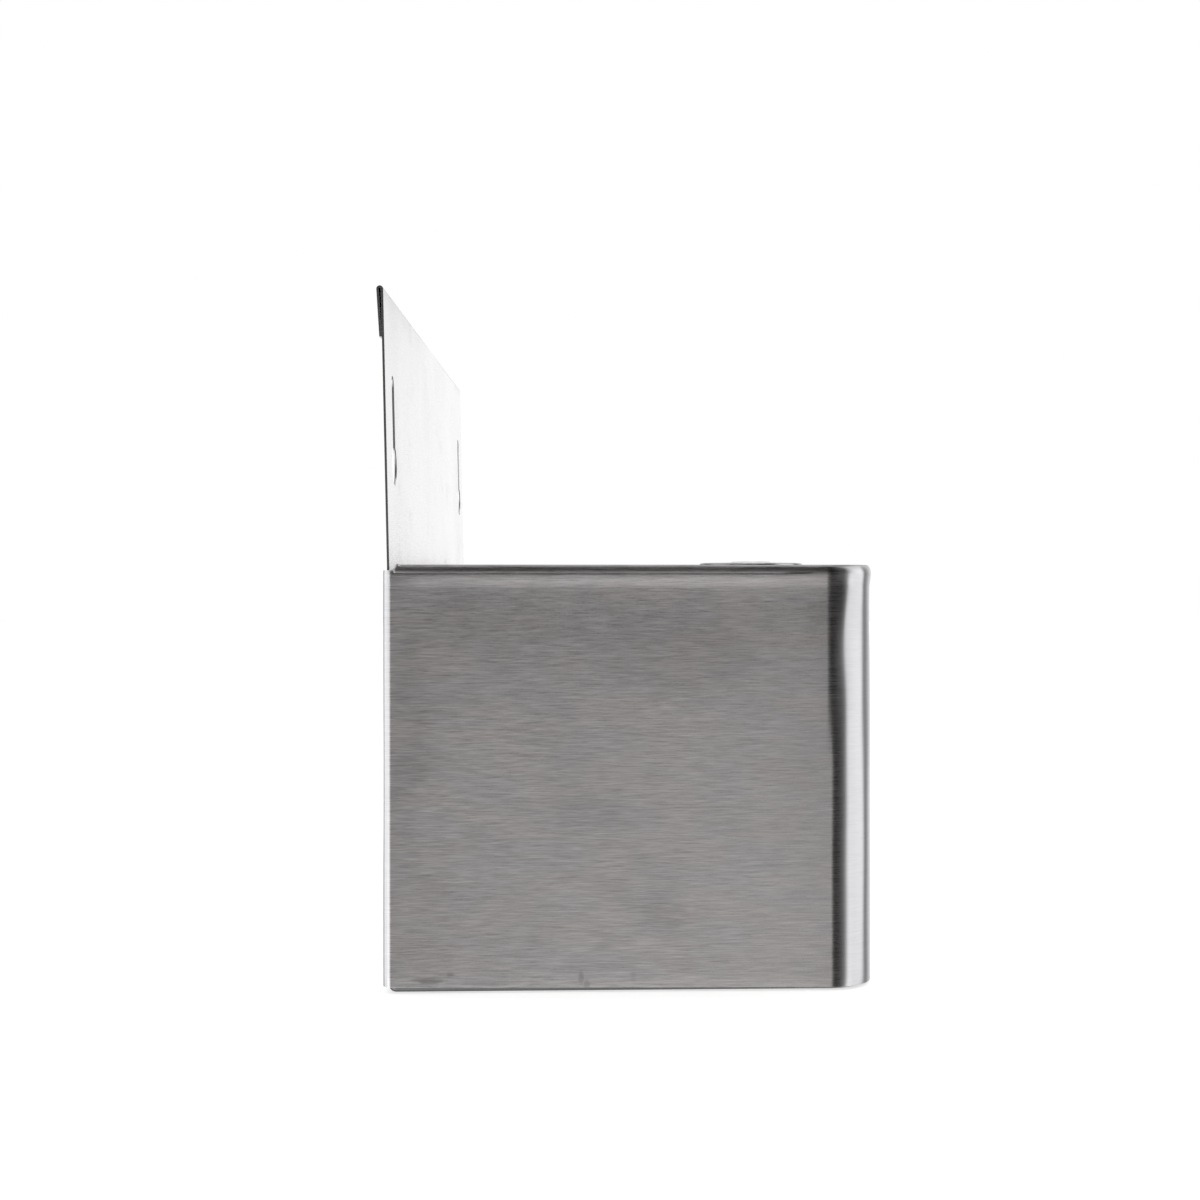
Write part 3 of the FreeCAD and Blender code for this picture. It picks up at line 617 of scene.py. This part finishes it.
def shell_plan(shell, half_width, front_y, rear_y):
    """Stations round the plan from one return to the other: point, outward way, front bend's share."""
    stations = []

    def at(x, y):
        return Vector((x, y, 0))

    def straight(start, end, way, step=shell.step):
        steps = max(1, math.ceil((end - start).length / step))
        for index in range(steps):
            stations.append((start.lerp(end, index / steps), way, 0.0))

    def bend(centre, radius, first, last, steps, front=False):
        for index in range(steps):
            turn = math.radians(first + (last - first) * index / steps)
            way = at(math.cos(turn), math.sin(turn))
            bent = math.sin(math.pi * index / steps) if front else 0.0
            stations.append((centre + way * radius, way, bent))

    corner, rear, fine = shell.corner_radius, shell.rear_radius, shell.fine_step
    corner_steps, rear_steps = 28, 12
    return_x = half_width - shell.return_width
    rear_x = half_width - rear
    corner_x = half_width - corner
    bend_y = rear_y - rear
    rim_y = rear_y - shell.rim_setback * 2
    corner_y = front_y + corner
    near_y = corner_y + shell.corner_run
    back, left, right, ahead = at(0, 1), at(-1, 0), at(1, 0), at(0, -1)
    straight(at(-return_x, rear_y), at(-rear_x, rear_y), back)
    bend(at(-rear_x, bend_y), rear, 90, 180, rear_steps)
    straight(at(-half_width, bend_y), at(-half_width, rim_y), left, fine)
    straight(at(-half_width, rim_y), at(-half_width, near_y), left)
    straight(at(-half_width, near_y), at(-half_width, corner_y), left, fine)
    bend(at(-corner_x, corner_y), corner, 180, 270, corner_steps, front=True)
    straight(at(-corner_x, front_y), at(corner_x, front_y), ahead)
    bend(at(corner_x, corner_y), corner, 270, 360, corner_steps, front=True)
    straight(at(half_width, corner_y), at(half_width, near_y), right, fine)
    straight(at(half_width, near_y), at(half_width, rim_y), right)
    straight(at(half_width, rim_y), at(half_width, bend_y), right, fine)
    bend(at(rear_x, bend_y), rear, 0, 90, rear_steps)
    straight(at(rear_x, rear_y), at(return_x, rear_y), back)
    stations.append((at(return_x, rear_y), back, 0.0))
    return stations


def hump(value, centre, reach):
    """1 at the centre, falling off to nothing on both sides."""
    return math.exp(-(((value - centre) / reach) ** 2))


def shell_section(shell, top, low, rolled, swollen, pinch_share, crease_share):
    """Closed section of the wall as (stand-off, height).

    rolled goes from 0, a cut edge, to 1, the rim; swollen and the shares set the wall under it.
    """
    sheet, soft = shell.sheet, shell.edge_round
    proud = shell.rim_proud * swollen
    depth = shell.pinch_depth * swollen * pinch_share
    roll = shell.rim_width / 2
    middle = shell.rim_proud - roll
    roll_z = top - roll
    raw_top = top - shell.raw_drop
    flare_z = top - shell.rim_flare
    pinch_z = top - shell.pinch_drop
    crease_z = top - shell.crease_drop
    crease = shell.crease_depth * rolled * crease_share

    def stand_off(z):
        if z < pinch_z:
            return -depth * hump(z, pinch_z, shell.pinch_reach)
        rise = smooth_step((z - pinch_z) / (crease_z - crease - pinch_z))
        return proud * rise - depth * (1 - rise)

    outer = arc_points((-soft, low + soft), soft, -90, 0, 3)
    wide_steps, close_steps = 36, 12
    start = low + soft
    for index in range(1, wide_steps + 1):
        z = start + (pinch_z - start) * index / wide_steps
        outer.append((stand_off(z), z))
    for index in range(1, close_steps + 1):
        z = pinch_z + (crease_z - crease - pinch_z) * index / close_steps
        outer.append((stand_off(z), z))
    outer.append((proud - crease, crease_z))
    rim = [
        (middle + roll * x, crease_z + (shell.crease_drop if x > 0 else roll) * z)
        for x, z in arc_points((0.0, 0.0), 1.0, 13, 90, 10)
    ]
    rim += arc_points((middle, roll_z), roll, 100, 180, 8)
    flap_out = shell.rim_proud - shell.rim_width
    flap_z = top - shell.rim_drop
    flap = [(flap_out, flap_z + soft)] + arc_points(
        (flap_out + sheet / 2, flap_z + sheet / 2), sheet / 2, 180, 360, 6
    )
    inner_roll = arc_points((middle, roll_z), roll - sheet, 180, 0, 10)
    inner = [(proud - sheet, crease_z), (-sheet - depth, flare_z)]
    inner += [(-sheet, start + (flare_z - start) * (1 - index / 12)) for index in range(1, 12)]
    inner += arc_points((-sheet + soft, low + soft), soft, 180, 270, 3)

    cut_outer = (-soft * 0.3, raw_top)
    cut_inner = (-sheet, raw_top)
    ring = [(stand, raw_top + (z - raw_top) * rolled if z > raw_top else z) for stand, z in outer]
    ring += [mixed(cut_outer, point, rolled) for point in rim]
    ring += [mixed(cut_inner, point, rolled) for point in flap + inner_roll + inner[:1]]
    return ring + inner[1:]


def mixed(first, second, factor):
    """The point that share of the way from the first to the second."""
    return tuple(a + (b - a) * factor for a, b in zip(first, second))


def smooth_step(value):
    """0 below 0, 1 above 1 and an even curve between."""
    value = max(0.0, min(1.0, value))
    return value * value * (3 - 2 * value)


def build_shell(shell, looks):
    low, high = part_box("shell")
    half_width = high.x - shell.rim_proud
    front_y = low.y + shell.rim_proud
    rear_y = high.y
    rim_end = rear_y - shell.rim_setback
    lead_start = front_y + shell.corner_radius + shell.corner_run
    lead_length = 3.4 * MM
    lead_low, lead_rise = 46 * MM, 18 * MM
    crease_fade = 7 * MM
    ear_y, ear_reach, ear_drop = rim_end - 0.3 * MM, 0.35 * MM, 1.2 * MM
    swell_z, swell_reach = high.z - 4.5 * MM, 5 * MM
    hollow_z, hollow_reach = high.z - 17 * MM, 8 * MM
    corner_wave_length = 18 * MM
    work = bmesh.new()
    rings = []
    for point, way, bent in shell_plan(shell, half_width, front_y, rear_y):
        rearward = (point.y - front_y) / (rear_y - front_y)
        lift = shell.lift_front + (shell.lift_rear - shell.lift_front) * rearward
        rolled = 1.0 - smooth_step((point.y - rim_end) / shell.rim_slope)
        ear = shell.rim_ear * hump(point.y, ear_y, ear_reach)
        pinch_share = 1.0 + (shell.corner_pinch - 1.0) * smooth_step(bent * 1.5)
        swollen = smooth_step((rear_y - shell.rear_radius - point.y) / shell.rim_fade)
        from_corner = max(point.y - front_y, half_width - abs(point.x))
        crease_share = smooth_step((from_corner - shell.crease_stop) / crease_fade)
        lead = smooth_step((lead_start - point.y) / lead_length)
        if abs(way.y) > abs(way.x):
            lead *= smooth_step(bent * bent)
        ring = []
        section = shell_section(shell, high.z, lift, rolled, swollen, pinch_share, crease_share)
        for stand, z in section:
            spot = point + UP * z
            wave = shell.wave_height * noise.noise(spot / shell.wave_length)
            swell = hump(z, swell_z, swell_reach) - hump(z, hollow_z, hollow_reach)
            wave += bent * bent * shell.corner_swell * swell
            wave -= lead * shell.corner_lead * smooth_step((z - lead_low) / lead_rise)
            ripple = noise.noise(Vector((point.x * 4, 0, z)) / corner_wave_length)
            wave += bent * shell.corner_wave * ripple
            turned_up = ear * smooth_step((z - high.z + ear_drop) / MM)
            ring.append(spot + way * (stand + wave) + UP * turned_up)
        rings.append(ring)
    made = skin_rings(work, rings)
    work.faces.new(made[0])
    work.faces.new(list(reversed(made[-1])))
    weld(work)
    mesh = mesh_from(work, "shell_skin", math.radians(50))
    new_piece("shell_skin", mesh, looks, "brushed_steel", "body", ("shell",))


# ---- Plates, pan, bin and lid ----


def build_back_plate(parts, looks):
    softened("back_plate", looks, "wall_plate_steel", "body", parts.soft_edge * 0.7)


def build_base_pan(parts, looks):
    softened("base_pan", looks, "inner_steel", "body", parts.soft_edge)
    softened("lock_keeper", looks, "inner_steel", "body", parts.soft_edge)


def build_liner(parts, looks):
    softened("liner", looks, "inner_steel", "liner", parts.soft_edge)


def build_hinge(parts, looks):
    edge = parts.soft_edge
    softened("liner_hinge_leaf", looks, "inner_steel", "liner", edge, "liner_leaf_skin")
    softened("lid_hinge_leaf", looks, "inner_steel", "lid", edge, "lid_leaf_skin")
    low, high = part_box("hinge_pin")
    radius = (high.z - low.z) / 2
    middle = (low + high) / 2
    run = high.x - low.x
    dome = radius * 0.35
    turns = [math.radians(degrees) for degrees in range(15, 91, 15)]
    end = [(0.0, 0.0)] + [(radius * math.sin(turn), dome * (1 - math.cos(turn))) for turn in turns]
    shank = [(radius, run * index / 24) for index in range(1, 24)]
    profile = end + shank + [(across, run - height) for across, height in reversed(end)]
    work = bmesh.new()
    lathe(work, profile, Vector((low.x, middle.y, middle.z)), Vector((1, 0, 0)), parts.rivet_segments)
    mesh = mesh_from(work, "hinge_pin_skin")
    new_piece("hinge_pin_skin", mesh, looks, "cam_steel", "liner", ("hinge_pin",))


def build_lid(parts, looks):
    softened("lid", looks, "lid_steel", "lid", parts.soft_edge)
    softened("lid_bumpers", looks, "rubber", "lid", parts.soft_edge * 3)


def stub_hole_places(parts):
    """Centres of the stub plate's staggered holes."""
    low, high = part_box("stub_plate")
    centre = (low + high) / 2
    columns = int((high.x - low.x - 2 * parts.stub_border + WELD) / parts.stub_pitch)
    row_pitch = parts.stub_pitch * math.sqrt(3) / 2
    rows = int((high.y - low.y - 2 * parts.stub_border + WELD) / row_pitch) + 1
    places = []
    for row in range(rows):
        y = centre.y + (row - (rows - 1) / 2) * row_pitch
        in_row = columns - row % 2
        for column in range(in_row):
            places.append(Vector((centre.x + (column - (in_row - 1) / 2) * parts.stub_pitch, y, high.z)))
    return places


def build_stub_plate(parts, looks):
    softened("stub_plate", looks, "lid_steel", "lid", parts.soft_edge)
    inner = parts.stub_hole - 0.02 * MM
    width, height = parts.collar_width, parts.collar_height
    sunk = -0.1 * MM
    steps, collar_segments = 8, 28
    profile = [(inner, sunk), (inner, height * 0.4)]
    for index in range(steps + 1):
        rise = math.sin(math.pi * (0.25 + 0.75 * index / steps))
        profile.append((inner + width * index / steps, height * rise))
    profile += [(inner + width, sunk), (inner, sunk)]
    work = bmesh.new()
    for place in stub_hole_places(parts):
        lathe(work, profile, place, UP, collar_segments)
    new_piece("stub_collars", mesh_from(work, "stub_collars"), looks, "lid_steel", "lid")


# ---- Rivets ----


def rivet_profile(parts, grip_length, head_radius):
    """Profile of a blind rivet from one head to the other, with the stem's hole in each head."""
    head = parts.rivet_head
    hole, depth = parts.mandrel_radius, parts.mandrel_depth
    turns = [math.radians(degrees) for degrees in range(18, 91, 8)]
    dome = [(head_radius * math.sin(turn), head * (1 - math.cos(turn) ** 0.9)) for turn in turns]
    start = [(0.0, depth), (hole * 0.9, depth), (hole, depth * 0.8), (hole, 0.06 * MM), (hole * 1.15, 0.0)]
    end = [(head_radius, head), (parts.rivet_shank, head)]
    half = start + [point for point in dome if point[0] > hole * 1.3] + end
    return half + [(radius, grip_length - height) for radius, height in reversed(half)]


def build_rivets(parts, looks):
    groups = {
        "back_rivets": "body",
        "pan_rivets": "body",
        "liner_leaf_rivets": "liner",
        "lid_leaf_rivets": "lid",
        "stub_plate_rivets": "lid",
    }
    apart = 8 * MM
    for node, body in groups.items():
        work = bmesh.new()
        for low, high in clusters(node, apart):
            size = high - low
            axis = min(range(3), key=lambda index: size[index])
            along = Vector([1.0 if index == axis else 0.0 for index in range(3)])
            start = (low + high) / 2
            start[axis] = low[axis]
            profile = rivet_profile(parts, size[axis], max(size) / 2)
            lathe(work, profile, start, along, parts.rivet_segments)
        name = node + "_skin"
        new_piece(name, mesh_from(work, name), looks, "rivet_metal", body, (node,))


# ---- Lock ----


def lock_profile(parts, outer, bottom, thread_top, base, top):
    """Profile of the lock's body: threaded barrel, bezel with a turned step, and crown."""
    bore, barrel = parts.plug_radius, parts.barrel_radius
    rounding = parts.bezel_corner
    bevel = 0.2 * MM
    profile = [(bore, bottom), (barrel - 0.5 * MM, bottom), (barrel, bottom + 0.5 * MM)]
    pitch, root = parts.thread_pitch, barrel - parts.thread_depth
    for index in range(int((thread_top - bottom - 2 * MM) / pitch)):
        z = bottom + MM + index * pitch
        profile += [(barrel, z), (root, z + pitch * 0.4)]
        profile += [(root, z + pitch * 0.55), (barrel, z + pitch * 0.95)]
    edge = top - parts.bezel_step
    profile += [(barrel, base), (outer - bevel, base), (outer, base + bevel)]
    profile += arc_points((outer - rounding, edge - rounding), rounding, 0, 90, 8)
    lip = outer - rounding - parts.bezel_lip
    profile += [(lip + 0.3 * MM, edge), (lip + 0.1 * MM, edge - 0.12 * MM), (lip, edge - 0.1 * MM)]
    crown_steps = 10
    for index in range(crown_steps + 1):
        radius = lip - bevel - (lip - bevel - bore - 0.25 * MM) * index / crown_steps
        profile.append((radius, edge + parts.bezel_step * (1 - (radius / lip) ** 2)))
    profile += [(bore + 0.08 * MM, top - 0.1 * MM), (bore, top - 0.25 * MM), (bore, bottom)]
    return profile


def build_lock(parts, looks):
    low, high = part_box("lock_body")
    gasket_low, gasket_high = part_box("lock_gasket")
    centre = Vector(((low.x + high.x) / 2, (low.y + high.y) / 2, 0))
    outer = (high.x - low.x) / 2
    profile = lock_profile(parts, outer, low.z, gasket_low.z, gasket_high.z, high.z)
    work = bmesh.new()
    lathe(work, profile, centre, UP, parts.round_segments)
    mesh = mesh_from(work, "lock_body_skin")
    new_piece("lock_body_skin", mesh, looks, "lock_chrome", "lid", ("lock_body",))
    softened("lock_gasket", looks, "rubber", "lid", parts.soft_edge)
    softened("lock_nut", looks, "cam_steel", "lid", parts.soft_edge * 3)
    softened("lock_plug", looks, "lock_chrome", "lock", parts.soft_edge)


def build_cam(parts, looks):
    for node, width in (("lock_cam", 2.0), ("cam_washer", 1.5), ("cam_screw", 1.0)):
        softened(node, looks, "cam_steel", "lock", parts.soft_edge * width)


# ---- Studio ----

# Brightness of the room round the bin, by angle in degrees from the camera side; positive angles
# go round by the bin's front.
ROOM_TONES = (
    (-180, 1.1), (-168, 0.95), (-155, 0.45), (-128, 0.34), (-115, 1.45), (-45, 1.55), (-32, 1.45),
    (-24, 1.0), (-17, 0.55), (-11, 0.36), (-4, 0.56), (3, 0.6), (7, 0.76), (9.5, 0.68),
    (11.5, 0.04), (30, 0.08), (38, 0.12), (46, 0.22), (50, 0.95), (56, 1.3), (100, 1.42),
    (105, 1.05), (110, 0.38), (121, 0.28), (129, 0.55), (140, 0.85), (154, 0.95), (165, 1.1),
    (180, 1.1),
)


def build_room(studio):
    """Light from a room whose walls differ all round; the camera itself sees plain white."""
    world = bpy.data.worlds.new("studio_room")
    bpy.context.scene.world = world
    world.use_nodes = True
    room = Nodes(world.node_tree)
    way = room.split(room.add("ShaderNodeTexCoord").outputs["Generated"])
    away_x, away_y = (room.math("MULTIPLY", way[axis], -1.0) for axis in (0, 1))
    upward = way[2]
    turn = room.math("ARCTAN2", away_y, away_x)
    turn_share = {0: turn, 1: 1 / math.tau, 2: 0.5}
    round_share = room.add("ShaderNodeMath", turn_share, operation="MULTIPLY_ADD").outputs[0]
    ramp = room.add("ShaderNodeValToRGB", {0: round_share})
    brightest = max(tone for _, tone in ROOM_TONES)
    stops = ramp.color_ramp.elements
    for degrees, _ in ROOM_TONES[1:-1]:
        stops.new(degrees / 360 + 0.5)
    for stop, (_, tone) in zip(stops, ROOM_TONES):
        stop.color = (*[tone / brightest] * 3, 1.0)
    wall = room.math("MULTIPLY", ramp.outputs[0], brightest)

    def by_height(low, high, below, above):
        return room.remap(upward, low, high, below, above, smooth=True)

    # Near the camera the walls darken above eye level; elsewhere they lighten, up to the ceiling.
    aside = room.math("ABSOLUTE", turn)
    near = room.remap(aside, math.radians(75), math.radians(45), 0.0, 1.0, smooth=True)
    shade = room.mix_value(near, by_height(-0.5, 0.1, 0.8, 1.05), by_height(-0.12, 0.06, 1.46, 0.28))
    above_walls = room.math("SUBTRACT", upward, room.mix_value(near, 0.5, 0.93))
    ceiling = room.remap(above_walls, 0.0, 0.05, 0.0, 1.0, smooth=True)
    walls = room.math("MULTIPLY", wall, shade)
    lit = room.mix_value(ceiling, walls, by_height(0.75, 0.93, 0.9, 0.55))
    seen = room.add("ShaderNodeLightPath").outputs["Is Camera Ray"]
    shown = room.mix_value(seen, lit, 1.0)
    background = room.add("ShaderNodeBackground", {"Color": shown, "Strength": studio.room_light})
    room.add("ShaderNodeOutputWorld", {"Surface": background.outputs[0]})


def build_floor(studio):
    work = bmesh.new()
    bmesh.ops.create_grid(work, x_segments=8, y_segments=8, size=studio.floor_reach)
    mesh = bpy.data.meshes.new("studio_floor")
    work.to_mesh(mesh)
    work.free()
    floor = bpy.data.objects.new("studio_floor", mesh)
    bpy.context.scene.collection.objects.link(floor)
    gap = 0.02 * MM
    floor.location.z = cad_low.z - gap
    floor.visible_glossy = False
    made = Finish("studio_floor")
    paper = made.swing(made.noise([3.0] * 3, 2.0), 0.02)
    tone = made.scaled((studio.floor_tone,) * 3, paper)
    diffuse = made.add("ShaderNodeBsdfDiffuse", {"Color": tone})
    glow = made.add("ShaderNodeEmission", {"Strength": studio.floor_glow})
    both = made.add("ShaderNodeAddShader", {0: diffuse.outputs[0], 1: glow.outputs[0]})
    made.add("ShaderNodeOutputMaterial", {"Surface": both.outputs[0]})
    mesh.materials.append(made.material)


def build_camera(studio):
    data = bpy.data.cameras.new("studio_camera")
    camera = bpy.data.objects.new("studio_camera", data)
    bpy.context.scene.collection.objects.link(camera)
    rim_stand = 0.2 * MM
    near_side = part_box("shell")[0].x + rim_stand
    camera.location = (near_side - studio.camera_gap, studio.camera_side, studio.camera_height)
    camera.rotation_euler = (math.pi / 2, 0.0, -math.pi / 2 - studio.camera_yaw)
    data.sensor_width = 36.0
    data.lens = studio.lens
    data.shift_x = studio.shift_x
    data.shift_y = studio.shift_y
    data.clip_start = 10 * MM
    data.clip_end = 20.0
    bpy.context.scene.camera = camera


def build_lamp():
    data = bpy.data.lights.new("overhead_softbox", "AREA")
    data.shape = "RECTANGLE"
    data.size = 0.9
    data.size_y = 0.5
    data.energy = 2.0
    lamp = bpy.data.objects.new("overhead_softbox", data)
    lamp.location = (0.15, -0.1, 1.1)
    bpy.context.scene.collection.objects.link(lamp)


def build_stage(studio):
    bpy.context.scene.view_settings.view_transform = "Standard"
    build_room(studio)
    build_floor(studio)
    build_camera(studio)
    build_lamp()


# ---- Operators ----


def make_parts(builder, context):
    """Run a builder with the sizes of the parts and the finishes, and report that it is done."""
    builder(context.scene.ashtray_parts, finishes(context.scene.ashtray_finish))
    return {"FINISHED"}


class ASHTRAY_OT_stage(bpy.types.Operator):
    """Set up the floor, the soft studio light and the camera"""

    bl_idname = "ashtray.stage"
    bl_label = "Studio"

    def execute(self, context):
        build_stage(context.scene.ashtray_studio)
        return {"FINISHED"}


class ASHTRAY_OT_shell(bpy.types.Operator):
    """Fold the outer shell with its rolled rim and rear returns"""

    bl_idname = "ashtray.shell"
    bl_label = "Shell"

    def execute(self, context):
        build_shell(context.scene.ashtray_shell, finishes(context.scene.ashtray_finish))
        return {"FINISHED"}


class ASHTRAY_OT_back_plate(bpy.types.Operator):
    """Make the wall plate with its keyholes and folded top"""

    bl_idname = "ashtray.back_plate"
    bl_label = "Wall Plate"

    def execute(self, context):
        return make_parts(build_back_plate, context)


class ASHTRAY_OT_base_pan(bpy.types.Operator):
    """Make the base pan with its drain holes and the lock keeper"""

    bl_idname = "ashtray.base_pan"
    bl_label = "Base Pan"

    def execute(self, context):
        return make_parts(build_base_pan, context)


class ASHTRAY_OT_liner(bpy.types.Operator):
    """Make the lift-out inner bin"""

    bl_idname = "ashtray.liner"
    bl_label = "Inner Bin"

    def execute(self, context):
        return make_parts(build_liner, context)


class ASHTRAY_OT_hinge(bpy.types.Operator):
    """Make the two hinge leaves and their pin"""

    bl_idname = "ashtray.hinge"
    bl_label = "Lid Hinge"

    def execute(self, context):
        return make_parts(build_hinge, context)


class ASHTRAY_OT_lid(bpy.types.Operator):
    """Make the lid with its drop slot and rubber bumpers"""

    bl_idname = "ashtray.lid"
    bl_label = "Lid"

    def execute(self, context):
        return make_parts(build_lid, context)


class ASHTRAY_OT_stub_plate(bpy.types.Operator):
    """Make the perforated plate for stubbing out, with a pressed collar round each hole"""

    bl_idname = "ashtray.stub_plate"
    bl_label = "Stub Plate"

    def execute(self, context):
        return make_parts(build_stub_plate, context)


class ASHTRAY_OT_rivets(bpy.types.Operator):
    """Set the rivets of the shell, pan, hinge and stub plate"""

    bl_idname = "ashtray.rivets"
    bl_label = "Rivets"

    def execute(self, context):
        return make_parts(build_rivets, context)


class ASHTRAY_OT_lock(bpy.types.Operator):
    """Make the lock's body, gasket, nut and key plug"""

    bl_idname = "ashtray.lock"
    bl_label = "Lock"

    def execute(self, context):
        return make_parts(build_lock, context)


class ASHTRAY_OT_cam(bpy.types.Operator):
    """Make the lock's cam with its washer and screw"""

    bl_idname = "ashtray.cam"
    bl_label = "Lock Cam"

    def execute(self, context):
        return make_parts(build_cam, context)


PIECE_OPERATORS = (
    ASHTRAY_OT_shell,
    ASHTRAY_OT_back_plate,
    ASHTRAY_OT_base_pan,
    ASHTRAY_OT_liner,
    ASHTRAY_OT_hinge,
    ASHTRAY_OT_lid,
    ASHTRAY_OT_stub_plate,
    ASHTRAY_OT_rivets,
    ASHTRAY_OT_lock,
    ASHTRAY_OT_cam,
    ASHTRAY_OT_stage,
)


class ASHTRAY_PT_bin(bpy.types.Panel):
    bl_idname = "ASHTRAY_PT_bin"
    bl_label = "Ashtray Bin"
    bl_space_type = "VIEW_3D"
    bl_region_type = "UI"
    bl_category = "Ashtray Bin"

    def draw(self, context):
        column = self.layout.column(align=True)
        for operator in PIECE_OPERATORS:
            column.operator(operator.bl_idname)


SETTINGS = {
    "ashtray_shell": AshtrayShell,
    "ashtray_parts": AshtrayParts,
    "ashtray_finish": AshtrayFinish,
    "ashtray_studio": AshtrayStudio,
}


def register():
    for group in (*SETTINGS.values(), *PIECE_OPERATORS, ASHTRAY_PT_bin):
        bpy.utils.register_class(group)
    for name, group in SETTINGS.items():
        setattr(bpy.types.Scene, name, PointerProperty(type=group))


def unregister():
    for name in SETTINGS:
        delattr(bpy.types.Scene, name)
    for group in (ASHTRAY_PT_bin, *reversed(PIECE_OPERATORS), *SETTINGS.values()):
        bpy.utils.unregister_class(group)


def main():
    register()
    for operator in PIECE_OPERATORS:
        group, name = operator.bl_idname.split(".")
        getattr(getattr(bpy.ops, group), name)()


if __name__ == "__main__":
    main()
